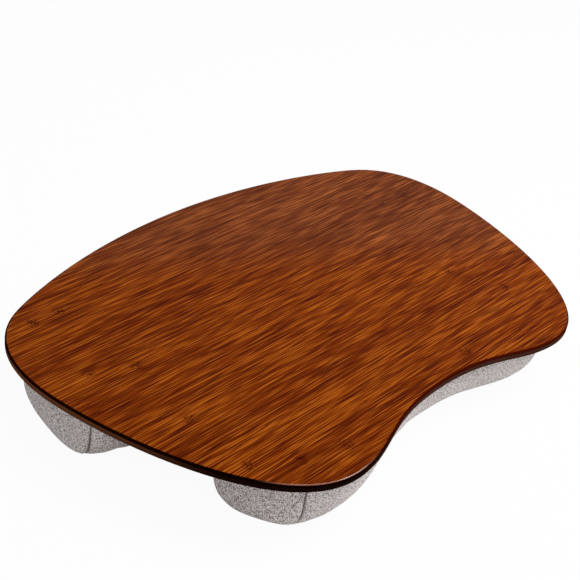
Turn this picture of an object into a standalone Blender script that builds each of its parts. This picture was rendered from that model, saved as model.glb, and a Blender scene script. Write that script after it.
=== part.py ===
"""A lap desk: a three-ply bamboo board on two fabric-covered foam cushions.

Metres, +Z up, +X to the user's right, +Y away from the user.
The origin is on the floor under the middle of the board.
"""
import math
from collections import namedtuple

import bmesh
import bpy
import numpy
from mathutils import Matrix, Vector
from mathutils.geometry import interpolate_bezier

# Board
BOARD_WIDTH = 0.570
BOARD_DEPTH = 0.389
FACE_PLY = 0.0024
CORE_PLY = 0.0026
BACK_PLY = 0.0024
EDGE_ROUND = 0.0019
WAIST_DEPTH = 0.0295
LOBE_SPACING = 0.298
WIDEST_SETBACK = 0.245
BACK_CORNER_SPACING = 0.465
BACK_CORNER_SETBACK = 0.342

# Bezier handles of the board's outline, as shares of its width and depth
WAIST_HANDLE_SHARE = 0.144
LOBE_INNER_HANDLE_SHARE = 0.094
LOBE_OUTER_HANDLE_SHARE = 0.164
SIDE_FRONT_HANDLE_SHARE = 0.141
SIDE_BACK_HANDLE_SHARE = 0.095
CORNER_SIDE_HANDLE_SHARES = (0.0737, 0.0504)
CORNER_BACK_HANDLE_SHARES = (0.0892, 0.0609)
BACK_HANDLE_SHARE = 0.168

# Cushions, both
CUSHION_HEIGHT = 0.057
CUSHION_END_RISE = 0.0015
SOLE_FLAT = 0.0005
CLOTH = 0.0012
HEM_WIDTH = 0.015
SEAM_DRAW_IN = 0.004
END_CROWN = 0.005
MOUNT_PANEL = 0.003
FOAM_SLACK = 0.0006

# Front cushion: it follows the board's front edge
FRONT_EDGE_INSET = 0.0070
FRONT_END_FRONT_SETBACK = 0.014
FRONT_END_FRONT_INSET = 0.007
FRONT_CORNER_DRAW_IN = 0.0085
FRONT_END_BACK_SETBACK = 0.104
FRONT_END_BACK_INSET = 0.032
FRONT_BACK_BULGE = 0.006

# Back cushion
BACK_END_FRONT_SETBACK = 0.1915
BACK_END_FRONT_INSET = 0.008
BACK_CORNER_DRAW_IN = 0.0175
BACK_END_BACK_SETBACK = 0.301
BACK_END_BACK_INSET = 0.0145
BACK_FRONT_BULGE = 0.019
BACK_BACK_BULGE = 0.026

# Screws and washers under the mounting panels
SCREW_SHANK_RADIUS = 0.0016
SCREW_HEAD_RADIUS = 0.0040
SCREW_HEAD_HEIGHT = 0.0022
SCREW_BITE = 0.0036
SCREW_TIP = 0.0010
SCREW_CROWN_SHARE = 0.6
RECESS_REACH = 0.0022
RECESS_SLOT = 0.0009
RECESS_DEPTH = 0.0012
RECESS_TILT = math.radians(20)
HOLE_CLEARANCE = 0.0005
WASHER_RADIUS = 0.0065
WASHER_THICKNESS = 0.0008
POCKET_CLEARANCE = 0.0010
SCREW_COLUMN_SHARES = (-0.78, 0.0, 0.78)
SCREW_ROW_SHARES = (0.26, 0.74)

# The gap that neighbours keep, and how far a cutter runs past what it cuts
SEAT_GAP = 0.0003
CUT_OVERRUN = 0.002
MERGE_DISTANCE = 0.00001

# Counts and shape powers
OUTLINE_STEPS = 10
ROUND_SEGMENTS = 3
SECTION_POWER = 3.0
DRAW_IN_POWER = 12
RISE_POWER = 4
STATION_POWER = 1.4
STATIONS = 24
SECTION_CUTS_ACROSS = 8
SECTION_CUTS_DOWN = 4
TURNED_STEPS = 12
LEVEL_SHARE = 0.99
FACING_SHARE = 0.5
SHARP_ANGLE = math.radians(35)

# Heights, from the floor up
BOARD_THICKNESS = FACE_PLY + CORE_PLY + BACK_PLY + 2 * SEAT_GAP
BOARD_UNDERSIDE = CUSHION_HEIGHT
BOARD_TOP = BOARD_UNDERSIDE + BOARD_THICKNESS
CORE_UNDERSIDE = BOARD_UNDERSIDE + BACK_PLY + SEAT_GAP
HEM_TOP = BOARD_UNDERSIDE - SEAT_GAP
MOUNT_TOP = HEM_TOP - CLOTH - SEAT_GAP
MOUNT_UNDERSIDE = MOUNT_TOP - MOUNT_PANEL
FOAM_TOP = MOUNT_UNDERSIDE - SEAT_GAP
WASHER_TOP = MOUNT_UNDERSIDE - SEAT_GAP
HEAD_SEAT = WASHER_TOP - WASHER_THICKNESS - SEAT_GAP
SCREW_TOP = BOARD_UNDERSIDE + SCREW_BITE
COVER_BOTTOM = -SOLE_FLAT
INNER_WALL = CLOTH + SEAT_GAP
PILOT_TOP = SCREW_TOP + SCREW_TIP + SEAT_GAP
HEAD_UNDERSIDE = HEAD_SEAT - SCREW_HEAD_HEIGHT
POCKET_BOTTOM = HEAD_UNDERSIDE - POCKET_CLEARANCE

# Radii that other pieces give, and the line of the board's lobes in front
PILOT_RADIUS = SCREW_SHANK_RADIUS + SEAT_GAP
BORE_RADIUS = SCREW_SHANK_RADIUS + HOLE_CLEARANCE
POCKET_RADIUS = WASHER_RADIUS + POCKET_CLEARANCE
FRONT_LINE = -BOARD_DEPTH / 2

Cushion = namedtuple("Cushion", "name front_x back_x front_line back_line front_draw_in")


def clear_scene():
    for item in list(bpy.data.objects):
        bpy.data.objects.remove(item)


def new_collection(name):
    group = bpy.data.collections.new(name)
    bpy.context.scene.collection.children.link(group)
    return group


def new_material(name, colour, roughness, metallic=0.0):
    material = bpy.data.materials.new(name)
    material.use_nodes = True
    shader = material.node_tree.nodes["Principled BSDF"]
    shader.inputs["Base Color"].default_value = (*colour, 1.0)
    shader.inputs["Roughness"].default_value = roughness
    shader.inputs["Metallic"].default_value = metallic
    return material


def bamboo_face():
    return new_material("bamboo_face", (0.36, 0.11, 0.02), 0.35)


def bamboo_core():
    return new_material("bamboo_core", (0.12, 0.045, 0.02), 0.45)


def bamboo_back():
    return new_material("bamboo_back", (0.20, 0.06, 0.02), 0.45)


def hardboard():
    return new_material("hardboard", (0.25, 0.15, 0.08), 0.80)


def cushion_cloth():
    return new_material("cushion_cloth", (0.55, 0.53, 0.52), 0.95)


def cushion_foam():
    return new_material("cushion_foam", (0.85, 0.82, 0.70), 0.95)


def zinc_steel():
    return new_material("zinc_steel", (0.60, 0.60, 0.58), 0.35, 1.0)


def add_part(name, mesh, material, group):
    mesh.materials.clear()
    mesh.materials.append(material)
    mesh.shade_smooth()
    mesh.set_sharp_from_angle(angle=SHARP_ANGLE)
    part = bpy.data.objects.new(name, mesh)
    group.objects.link(part)
    return part


def add_cutter(name, mesh, group):
    cutter = bpy.data.objects.new(name, mesh)
    cutter.hide_render = True
    cutter.display_type = "WIRE"
    group.objects.link(cutter)
    return cutter


def cut(part, cutter):
    modifier = part.modifiers.new(cutter.name, "BOOLEAN")
    modifier.operation = "DIFFERENCE"
    modifier.solver = "EXACT"
    modifier.object = cutter


def thicken(part, side):
    """Give an open sheet the cloth's thickness, outside it for side 1 and inside it for side -1."""
    modifier = part.modifiers.new("Cloth", "SOLIDIFY")
    modifier.solidify_mode = "NON_MANIFOLD"
    modifier.nonmanifold_thickness_mode = "CONSTRAINTS"
    modifier.thickness = CLOTH
    modifier.offset = side


def outline_knots():
    """The board's outline: each row is a point, its handle in and its handle out."""
    half_width = BOARD_WIDTH / 2
    half_depth = BOARD_DEPTH / 2
    side_in_x = CORNER_SIDE_HANDLE_SHARES[0] * BOARD_WIDTH
    side_in_y = CORNER_SIDE_HANDLE_SHARES[1] * BOARD_DEPTH
    back_out_x = CORNER_BACK_HANDLE_SHARES[0] * BOARD_WIDTH
    back_out_y = CORNER_BACK_HANDLE_SHARES[1] * BOARD_DEPTH
    waist = Vector((0, FRONT_LINE + WAIST_DEPTH, 0))
    waist_reach = Vector((WAIST_HANDLE_SHARE * BOARD_WIDTH, 0, 0))
    lobe = Vector((LOBE_SPACING / 2, FRONT_LINE, 0))
    lobe_inner = Vector((LOBE_INNER_HANDLE_SHARE * BOARD_WIDTH, 0, 0))
    lobe_outer = Vector((LOBE_OUTER_HANDLE_SHARE * BOARD_WIDTH, 0, 0))
    side = Vector((half_width, FRONT_LINE + WIDEST_SETBACK, 0))
    side_front = Vector((0, SIDE_FRONT_HANDLE_SHARE * BOARD_DEPTH, 0))
    side_back = Vector((0, SIDE_BACK_HANDLE_SHARE * BOARD_DEPTH, 0))
    corner = Vector((BACK_CORNER_SPACING / 2, FRONT_LINE + BACK_CORNER_SETBACK, 0))
    corner_side = Vector((side_in_x, -side_in_y, 0))
    corner_back = Vector((-back_out_x, back_out_y, 0))
    back = Vector((0, half_depth, 0))
    back_reach = Vector((BACK_HANDLE_SHARE * BOARD_WIDTH, 0, 0))
    right = [
        (lobe, lobe - lobe_inner, lobe + lobe_outer),
        (side, side - side_front, side + side_back),
        (corner, corner + corner_side, corner + corner_back),
    ]
    left = [tuple(mirrored(p) for p in (knot[0], knot[2], knot[1])) for knot in reversed(right)]
    front_knot = (waist, waist - waist_reach, waist + waist_reach)
    back_knot = (back, back + back_reach, back - back_reach)
    return [front_knot, *right, back_knot, *left]


def mirrored(point):
    return Vector((-point.x, point.y, point.z))


def right_edge():
    """Points of the board's outline from the front centre, round the right, to the back centre."""
    knots = outline_knots()
    right = knots[: len(knots) // 2 + 1]
    points = []
    for start, end in zip(right, right[1:]):
        points.extend(interpolate_bezier(start[0], start[2], end[1], end[0], OUTLINE_STEPS + 1)[:-1])
    points.append(right[-1][0])
    return numpy.array([point[:2] for point in points])


def board_front_y(x):
    """The y of the board's front edge, which is the edge's first two spans, at a place x across."""
    front = right_edge()[: 2 * OUTLINE_STEPS + 1]
    return float(numpy.interp(abs(x), front[:, 0], front[:, 1]))


def board_side_x(y):
    """The x of the board's right edge, from its lobe to its back, at a place y."""
    side = right_edge()[OUTLINE_STEPS:]
    return float(numpy.interp(y, side[:, 1], side[:, 0]))


def outline_curve(name, thickness):
    """The board's outline as a filled 2D curve, as thick as one ply."""
    curve = bpy.data.curves.new(name, "CURVE")
    curve.dimensions = "2D"
    curve.fill_mode = "BOTH"
    curve.extrude = thickness / 2
    curve.resolution_u = OUTLINE_STEPS
    spline = curve.splines.new("BEZIER")
    knots = outline_knots()
    spline.bezier_points.add(len(knots) - 1)
    for point, (place, handle_in, handle_out) in zip(spline.bezier_points, knots):
        point.handle_left_type = "FREE"
        point.handle_right_type = "FREE"
        point.co = place
        point.handle_left = handle_in
        point.handle_right = handle_out
    spline.use_cyclic_u = True
    return curve


def polygon_curve(name, points, thickness):
    """A straight-sided outline as a filled 2D curve."""
    curve = bpy.data.curves.new(name, "CURVE")
    curve.dimensions = "2D"
    curve.fill_mode = "BOTH"
    curve.extrude = thickness / 2
    spline = curve.splines.new("POLY")
    spline.points.add(len(points) - 1)
    for point, place in zip(spline.points, points):
        point.co = (place[0], place[1], 0, 1)
    spline.use_cyclic_u = True
    return curve


def plate_mesh(name, curve, middle_z):
    """A curve's plate as a mesh with one flat face above and one below, lifted to its height."""
    blank = bpy.data.objects.new(name, curve)
    bpy.context.scene.collection.objects.link(blank)
    blank.location.z = middle_z
    mesh = baked_mesh(blank)
    form = bmesh.new()
    form.from_mesh(mesh)
    bmesh.ops.remove_doubles(form, verts=form.verts, dist=MERGE_DISTANCE)
    for direction in (1, -1):
        cap = [face for face in form.faces if face.normal.z * direction > LEVEL_SHARE]
        bmesh.ops.dissolve_faces(form, faces=cap)
    form.to_mesh(mesh)
    form.free()
    return mesh


def round_rim(part, edge_z, radius):
    """Round over the rim at one height of a flat plate."""
    form = bmesh.new()
    form.from_mesh(part.data)
    weights = form.edges.layers.float.new("bevel_weight_edge")
    for edge in form.edges:
        if all(abs(vert.co.z - edge_z) < MERGE_DISTANCE for vert in edge.verts):
            edge[weights] = 1
    form.to_mesh(part.data)
    form.free()
    modifier = part.modifiers.new("Rounded rim", "BEVEL")
    modifier.limit_method = "WEIGHT"
    modifier.width = radius
    modifier.segments = ROUND_SEGMENTS


def make_face_ply(group):
    mesh = plate_mesh("face_ply", outline_curve("face_ply", FACE_PLY), BOARD_TOP - FACE_PLY / 2)
    ply = add_part("face_ply", mesh, bamboo_face(), group)
    round_rim(ply, BOARD_TOP, min(EDGE_ROUND, FACE_PLY - SEAT_GAP))
    return ply


def make_core_ply(group):
    mesh = plate_mesh("core_ply", outline_curve("core_ply", CORE_PLY), CORE_UNDERSIDE + CORE_PLY / 2)
    return add_part("core_ply", mesh, bamboo_core(), group)


def make_back_ply(group):
    mesh = plate_mesh("back_ply", outline_curve("back_ply", BACK_PLY), BOARD_UNDERSIDE + BACK_PLY / 2)
    ply = add_part("back_ply", mesh, bamboo_back(), group)
    round_rim(ply, BOARD_UNDERSIDE, min(EDGE_ROUND, BACK_PLY - SEAT_GAP))
    return ply


def arched(x, end_x, end_y, bulge):
    """A line across the desk that bows from end_y at its ends by the bulge at its middle."""
    return end_y + bulge * (1 - (x / end_x) ** 2)


def front_cushion():
    front_y = FRONT_LINE + FRONT_END_FRONT_SETBACK
    back_y = FRONT_LINE + FRONT_END_BACK_SETBACK
    front_x = board_side_x(front_y) - FRONT_END_FRONT_INSET
    back_x = board_side_x(back_y) - FRONT_END_BACK_INSET
    return Cushion(
        "front",
        front_x,
        back_x,
        lambda x: board_front_y(x) + FRONT_EDGE_INSET,
        lambda x: arched(x, back_x, back_y + SEAM_DRAW_IN, FRONT_BACK_BULGE),
        FRONT_CORNER_DRAW_IN,
    )


def back_cushion():
    front_y = FRONT_LINE + BACK_END_FRONT_SETBACK
    back_y = FRONT_LINE + BACK_END_BACK_SETBACK
    front_x = board_side_x(front_y) - BACK_END_FRONT_INSET
    back_x = board_side_x(back_y) - BACK_END_BACK_INSET
    return Cushion(
        "back",
        front_x,
        back_x,
        lambda x: arched(x, front_x, front_y - BACK_CORNER_DRAW_IN, -BACK_FRONT_BULGE),
        lambda x: arched(x, back_x, back_y + SEAM_DRAW_IN, BACK_BACK_BULGE),
        BACK_CORNER_DRAW_IN,
    )


def edge_points(cushion, u):
    """The cushion's front and back edge in plan, at u from -1 to 1 along it."""
    front_x = u * cushion.front_x
    back_x = u * cushion.back_x
    front = Vector((front_x, cushion.front_line(front_x)))
    back = Vector((back_x, cushion.back_line(back_x)))
    draw = (back - front).normalized() * abs(u) ** DRAW_IN_POWER
    return front + draw * cushion.front_draw_in, back - draw * SEAM_DRAW_IN


def section_place(a, b):
    """Map a square's a from -1 to 1 and b from 0 to 1 onto the cushion's rounded D section."""
    across = a * math.sqrt(1 - b ** 2 / 2)
    down = b * math.sqrt(1 - a ** 2 / 2)
    reach = math.hypot(across, down)
    if reach == 0:
        return 0.0, 0.0
    cosine = abs(across / reach)
    sine = abs(down / reach)
    swell = (cosine ** SECTION_POWER + sine ** SECTION_POWER) ** (-1 / SECTION_POWER)
    return across * swell, down * swell


def cushion_point(cushion, u, a, b):
    """A point of the cushion's outside: u along it, a from front to back, b from top to bottom."""
    front, back = edge_points(cushion, u)
    across, down = section_place(a, b)
    bottom = COVER_BOTTOM + CUSHION_END_RISE * abs(u) ** RISE_POWER
    place = (front + back) / 2 + (back - front) / 2 * across
    return Vector((place.x, place.y, HEM_TOP - (HEM_TOP - bottom) * down))


def station(t):
    """Stations along a cushion, closer together towards its ends."""
    return math.copysign(1 - (1 - abs(t)) ** STATION_POWER, t)


def end_swell(a, b):
    """How far an end panel stands out at a place of its section, from nothing at its seams."""
    across = 1 - a ** 2
    down = 1 - (1 - 2 * b) ** 2
    return END_CROWN * (across * down) ** 2


def even_cuts(form, axis, pieces):
    """Cut the box from -1 to 1 into equal pieces along one axis."""
    normal = Vector((0, 0, 0))
    normal[axis] = 1
    for step in range(1, pieces):
        geometry = form.verts[:] + form.edges[:] + form.faces[:]
        place = normal * (2 * step / pieces - 1)
        bmesh.ops.bisect_plane(form, geom=geometry, plane_co=place, plane_no=normal)


def facing(form, direction):
    form.normal_update()
    return [face for face in form.faces if face.normal.dot(direction) > FACING_SHARE]


def cushion_form(cushion, wall, top):
    """The cushion's closed form, drawn in evenly by a wall and level at the top, and its sides."""
    form = bmesh.new()
    bmesh.ops.create_cube(form, size=2)
    even_cuts(form, 0, STATIONS)
    even_cuts(form, 1, SECTION_CUTS_ACROSS)
    even_cuts(form, 2, SECTION_CUTS_DOWN)
    sides = {
        "top": facing(form, Vector((0, 0, 1))),
        "left": facing(form, Vector((-1, 0, 0))),
        "right": facing(form, Vector((1, 0, 0))),
    }
    for vert in form.verts:
        u = station(vert.co.x)
        a = vert.co.y
        b = (1 - vert.co.z) / 2
        vert.co = cushion_point(cushion, u, a, b)
        if abs(u) == 1:
            vert.co.x += math.copysign(end_swell(a, b), u)
    form.normal_update()
    shifts = [vert.normal * wall * vert.calc_shell_factor() for vert in form.verts]
    for vert, shift in zip(form.verts, shifts):
        vert.co -= shift
        vert.co.z = min(vert.co.z, top)
    form.normal_update()
    return form, sides


def keep_only(form, faces):
    kept = set(faces)
    others = [face for face in form.faces if face not in kept]
    bmesh.ops.delete(form, geom=others, context="FACES")


def form_mesh(name, form):
    mesh = bpy.data.meshes.new(name)
    form.to_mesh(mesh)
    form.free()
    return mesh


def section_path():
    """The D section from its back top corner, round the bottom, to its front top corner."""
    down = [(1, step / SECTION_CUTS_DOWN) for step in range(SECTION_CUTS_DOWN)]
    under = [(1 - 2 * step / SECTION_CUTS_ACROSS, 1) for step in range(SECTION_CUTS_ACROSS + 1)]
    up = [(-1, b) for _, b in reversed(down)]
    return down + under + up


def wrap_place(cushion, column, row, path):
    """Where a corner of the wrap's grid goes: the first and last rows are the hem's free edges."""
    u = station(2 * column / STATIONS - 1)
    if 0 < row <= len(path):
        return cushion_point(cushion, u, *path[row - 1])
    front, back = edge_points(cushion, u)
    inward = (back - front).normalized() * HEM_WIDTH
    hem = back - inward if row == 0 else front + inward
    return Vector((hem.x, hem.y, HEM_TOP))


def make_cover_wrap(cushion, group, cutters):
    """The long cover panel: behind, underneath and in front, with its hem over the mounting panel."""
    path = section_path()
    rows = len(path) + 1
    form = bmesh.new()
    bmesh.ops.create_grid(form, x_segments=STATIONS, y_segments=rows, size=1)
    for vert in form.verts:
        column = round((vert.co.x + 1) / 2 * STATIONS)
        row = round((vert.co.y + 1) / 2 * rows)
        vert.co = wrap_place(cushion, column, row, path)
    name = cushion.name + "_cover_wrap"
    wrap = add_part(name, form_mesh(name, form), cushion_cloth(), group)
    thicken(wrap, -1)
    cut(wrap, cutters["floor"])
    return wrap


def average_normal(faces):
    return sum((face.normal for face in faces), Vector((0, 0, 0))).normalized()


def seam_shift(normal, outward):
    """The move in an end's plane that takes a point of its seam just inside the long cover panel."""
    slope = normal.dot(outward)
    level = normal - outward * slope
    wall = INNER_WALL + CLOTH * max(0, -slope)
    return -level * wall / level.length_squared


def make_cover_end(cushion, side, group):
    """The D-shaped panel sewn into one end of the cover."""
    form, sides = cushion_form(cushion, 0, HEM_TOP)
    panel = set(sides[side])
    outward = average_normal(panel)
    others = panel.union(sides["top"])
    shifts = {}
    for vert in {vert for face in panel for vert in face.verts}:
        wrap_faces = [face for face in vert.link_faces if face not in others]
        if wrap_faces:
            shifts[vert] = seam_shift(average_normal(wrap_faces), outward)
    for vert, shift in shifts.items():
        vert.co += shift
    for vert in form.verts:
        vert.co.z = min(vert.co.z, MOUNT_TOP)
    keep_only(form, panel)
    name = cushion.name + "_cover_" + side + "_end"
    end = add_part(name, form_mesh(name, form), cushion_cloth(), group)
    thicken(end, -1)
    return end


def make_foam(cushion, group, cutters):
    """The cushion's foam core, hollowed where the screw heads and washers sit."""
    form, _ = cushion_form(cushion, CLOTH + FOAM_SLACK, FOAM_TOP)
    name = cushion.name + "_foam"
    foam = add_part(name, form_mesh(name, form), cushion_foam(), group)
    cut(foam, cutters[cushion.name + "_pockets"])
    return foam


def make_mount_panel(cushion, group, cutters):
    """The hardboard panel that the cover's hem folds over and the screws hold to the board."""
    form, sides = cushion_form(cushion, INNER_WALL, MOUNT_TOP)
    keep_only(form, sides["top"])
    bmesh.ops.dissolve_faces(form, faces=form.faces)
    grown = bmesh.ops.extrude_face_region(form, geom=form.faces[:])
    corners = [item for item in grown["geom"] if isinstance(item, bmesh.types.BMVert)]
    for vert in form.verts:
        vert.co.z = MOUNT_UNDERSIDE
    for vert in corners:
        vert.co.z = MOUNT_TOP
    bmesh.ops.recalc_face_normals(form, faces=form.faces)
    name = cushion.name + "_mount_panel"
    panel = add_part(name, form_mesh(name, form), hardboard(), group)
    cut(panel, cutters[cushion.name + "_panel_holes"])
    return panel


def screw_places(cushion):
    """The screws' places in plan, in rows across the mounting panel."""
    places = []
    for column in SCREW_COLUMN_SHARES:
        front, back = edge_points(cushion, column)
        for row in SCREW_ROW_SHARES:
            places.append(front.lerp(back, row))
    return places


def baked_mesh(blank):
    """An object's mesh with its modifiers applied; the object itself is removed."""
    bpy.context.view_layer.update()
    evaluated = blank.evaluated_get(bpy.context.evaluated_depsgraph_get())
    mesh = bpy.data.meshes.new_from_object(evaluated)
    mesh.transform(blank.matrix_world)
    bpy.data.objects.remove(blank)
    return mesh


def turned_blank(name, profile):
    """A profile of radii and heights, from top to bottom, turned about the Z axis."""
    form = bmesh.new()
    verts = [form.verts.new((radius, 0, height)) for radius, height in profile]
    for start, end in zip(verts, verts[1:]):
        form.edges.new((start, end))
    if profile[0][0] > 0:
        form.edges.new((verts[-1], verts[0]))
    blank = bpy.data.objects.new(name, form_mesh(name, form))
    bpy.context.scene.collection.objects.link(blank)
    modifier = blank.modifiers.new("Turned", "SCREW")
    modifier.axis = "Z"
    modifier.angle = math.tau
    modifier.steps = TURNED_STEPS
    modifier.render_steps = TURNED_STEPS
    modifier.use_merge_vertices = True
    modifier.merge_threshold = MERGE_DISTANCE
    return blank


def add_copies(name, mesh, material, places, group):
    """A numbered object at each place in plan, all sharing one mesh."""
    for number, place in enumerate(places, start=1):
        copy = add_part(f"{name}_{number}", mesh, material, group)
        copy.location = (place.x, place.y, 0)


def cylinders(name, places, radius, bottom, top):
    """A cylinder from bottom to top at each place in plan, as one mesh."""
    form = bmesh.new()
    for place in places:
        middle = Matrix.Translation((place.x, place.y, (bottom + top) / 2))
        bmesh.ops.create_cone(form, cap_ends=True, segments=TURNED_STEPS, radius1=radius,
                              radius2=radius, depth=top - bottom, matrix=middle)
    return form_mesh(name, form)


def cross_points(reach, slot, tilt):
    """A cross with equal arms, tilted by an angle and drawn counter-clockwise."""
    half = slot / 2
    quarter = [(reach, -half), (reach, half), (half, half)]
    turns = [tilt + math.pi / 2 * arm for arm in range(4)]
    return [(x * math.cos(turn) - y * math.sin(turn), x * math.sin(turn) + y * math.cos(turn))
            for turn in turns for x, y in quarter]


def screw_mesh(cutters):
    """A pan-head screw that stands on its head, with a cross recess."""
    dome = HEAD_UNDERSIDE + SCREW_HEAD_HEIGHT / 2
    profile = [
        (0, SCREW_TOP + SCREW_TIP),
        (SCREW_SHANK_RADIUS, SCREW_TOP),
        (SCREW_SHANK_RADIUS, HEAD_SEAT),
        (SCREW_HEAD_RADIUS, HEAD_SEAT),
        (SCREW_HEAD_RADIUS, dome),
        (SCREW_HEAD_RADIUS * SCREW_CROWN_SHARE, HEAD_UNDERSIDE),
        (0, HEAD_UNDERSIDE),
    ]
    blank = turned_blank("screw", profile)
    cut(blank, cutters["recess"])
    return baked_mesh(blank)


def washer_mesh():
    """A wide flat washer, which keeps a screw's head from pulling through the mounting panel."""
    underside = WASHER_TOP - WASHER_THICKNESS
    profile = [
        (BORE_RADIUS, WASHER_TOP),
        (WASHER_RADIUS, WASHER_TOP),
        (WASHER_RADIUS, underside),
        (BORE_RADIUS, underside),
    ]
    return baked_mesh(turned_blank("washer", profile))


def floor_block():
    """A block whose top is the floor's height, which levels the soles of the cushions."""
    form = bmesh.new()
    depth = SOLE_FLAT + CUT_OVERRUN
    size = Matrix.Diagonal((BOARD_WIDTH, BOARD_DEPTH, depth, 1))
    bmesh.ops.create_cube(form, size=1, matrix=Matrix.Translation((0, 0, -depth / 2)) @ size)
    return form_mesh("floor_block", form)


def make_cutters(cushions, group):
    """Everything that is cut away, by name."""
    points = cross_points(RECESS_REACH, RECESS_SLOT, RECESS_TILT)
    cross = plate_mesh("recess", polygon_curve("recess", points, RECESS_DEPTH * 2), HEAD_UNDERSIDE)
    cutters = {
        "floor": add_cutter("floor_block", floor_block(), group),
        "recess": add_cutter("recess", cross, group),
    }
    every_place = [place for cushion in cushions for place in screw_places(cushion)]
    bores = {"pilot_holes": (every_place, PILOT_RADIUS, BOARD_UNDERSIDE - CUT_OVERRUN, PILOT_TOP)}
    for cushion in cushions:
        places = screw_places(cushion)
        low = MOUNT_UNDERSIDE - CUT_OVERRUN
        high = MOUNT_TOP + CUT_OVERRUN
        bores[cushion.name + "_panel_holes"] = (places, BORE_RADIUS, low, high)
        high = FOAM_TOP + CUT_OVERRUN
        bores[cushion.name + "_pockets"] = (places, POCKET_RADIUS, POCKET_BOTTOM, high)
    for name, (places, radius, bottom, top) in bores.items():
        cutters[name] = add_cutter(name, cylinders(name, places, radius, bottom, top), group)
    return cutters


def make_cushion(cushion, group, cutters):
    make_mount_panel(cushion, group, cutters)
    make_foam(cushion, group, cutters)
    make_cover_wrap(cushion, group, cutters)
    make_cover_end(cushion, "left", group)
    make_cover_end(cushion, "right", group)
    places = screw_places(cushion)
    add_copies(cushion.name + "_washer", washer_mesh(), zinc_steel(), places, group)
    add_copies(cushion.name + "_screw", screw_mesh(cutters), zinc_steel(), places, group)


def main():
    clear_scene()
    parts = new_collection("lap_desk")
    cutter_group = new_collection("cutters")
    cushions = [front_cushion(), back_cushion()]
    cutters = make_cutters(cushions, cutter_group)
    make_face_ply(parts)
    for ply in (make_core_ply(parts), make_back_ply(parts)):
        cut(ply, cutters["pilot_holes"])
    for cushion in cushions:
        make_cushion(cushion, parts, cutters)


main()
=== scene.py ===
"""A lap desk: a stained bamboo board on two fabric-covered foam cushions.

Metres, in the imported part's frame: +X to the user's right, +Y away from the user, +Z up.
"""
import math
from collections import namedtuple

import bmesh
import bpy
import numpy
from mathutils import Matrix, Vector, noise
from mathutils.kdtree import KDTree


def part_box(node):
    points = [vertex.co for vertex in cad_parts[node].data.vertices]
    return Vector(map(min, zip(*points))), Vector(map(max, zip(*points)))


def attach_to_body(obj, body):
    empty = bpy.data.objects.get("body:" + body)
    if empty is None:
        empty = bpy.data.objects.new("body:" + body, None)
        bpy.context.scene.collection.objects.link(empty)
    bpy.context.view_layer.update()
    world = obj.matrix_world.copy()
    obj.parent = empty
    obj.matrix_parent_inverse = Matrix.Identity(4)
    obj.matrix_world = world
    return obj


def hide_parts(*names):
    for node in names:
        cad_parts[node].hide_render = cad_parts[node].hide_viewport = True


SAME_PLACE = 0.00001

# Board
OUTLINE_POINTS = 480
SPLINE_STEPS = 24
EDGE_ROUND = 0.0019
UNDER_ROUND = 0.0010
ROUND_STEPS = 8
GLUE_GROOVE = 0.00012
STAINED_FROM_STEP = 1
FACE_RING = 0.0006
SHARP_ANGLE = math.radians(40)

# Bamboo: its strips, the knuckles in plan, and its fibres
STRIP_WIDTH = 0.0205
STRIP_START = -0.1845
KNUCKLES = (
    (-0.234, 0.122),
    (-0.206, 0.123),
    (-0.241, 0.036),
    (-0.213, -0.062),
    (-0.214, -0.132),
    (-0.201, 0.018),
    (-0.133, -0.167),
    (-0.176, -0.154),
    (0.055, -0.151),
    (0.199, 0.094),
    (0.204, 0.075),
    (0.179, -0.111),
    (0.154, -0.059),
    (0.239, 0.072),
)
KNUCKLE_REACH = 0.0085
KNUCKLE_SQUASH = 0.9
KNUCKLE_SWIRL = 0.0055
FIBRE_WANDER = 0.0020
FIBRE_WIDTH = 0.0012
ROW_JUMP = 0.9137
RIPPLE = 0.0022

# Scales of the bamboo's patterns along x, y and z
WANDER_SCALES = (9.0, 22.0, 1.0)
FIBRE_SCALES = (24.0, 19.0, 1.0)
BROAD_SCALES = (5.0, 110.0, 53.0)
STREAK_SCALES = (15.0, 800.0, 223.0)
RIPPLE_SCALES = (9.0, 170.0, 53.0)
DARK_FIBRE_SCALES = (28.0, 700.0, 207.0)
KNUCKLE_SWIRL_SCALE = 240.0
KNUCKLE_RING_SCALE = 420.0

# How much each pattern adds to the bamboo's lightness, and where its tones change
FIBRE_SHARE = 0.71
STREAK_SHARE = 0.26
BROAD_SHARE = 0.04
RIPPLE_SHARE = 0.070
STRIP_SHARE = 0.05
DARK_TO_MIDDLE = (0.33, 0.50)
MIDDLE_TO_LIGHT = (0.50, 0.67)

# The bamboo's dark, middle and light tones, and where the near ones turn into the far ones, which are
# paler and bluer from a painted sheen of reflected light
FAR_SHEEN_SIDE = (0.03, 0.14)
TOP_NEAR_TONES = ((0.052, 0.003, 0.0), (0.172, 0.025, 0.0003), (0.400, 0.095, 0.006))
TOP_FAR_SHEEN_TONES = ((0.068, 0.010, 0.002), (0.150, 0.031, 0.007), (0.345, 0.094, 0.022))
UNDER_TONES = ((0.030, 0.004, 0.0005), (0.100, 0.020, 0.002), (0.210, 0.055, 0.008))

# Rim: where along X the stain reddens to the right, where painted light makes the sides lighter, and the
# painted highlight on the crest of the left front lobe
RIM_LIT_SIDES = (0.235, 0.290)
RIM_RIGHT = (-0.16, -0.04)
RIM_LOBE = (-0.16, -0.11)
RIM_LOBE_FRONT = (0.145, 0.170)
RIM_CREST = (0.0642, 0.0647)
CREST_HIGHLIGHT_TONE = (0.24, 0.065, 0.022)
CREST_GLOSS = 0.42
# Each rim's tones at its front, to the right, and at its sides, where the sides' tone is painted light
RIM_DARK_TONES = ((0.005, 0.0008, 0.0003), (0.050, 0.004, 0.0003), (0.012, 0.0020, 0.0008))
RIM_BROWN_TONES = ((0.010, 0.003, 0.0015), (0.060, 0.022, 0.014), (0.170, 0.056, 0.024))

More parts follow.
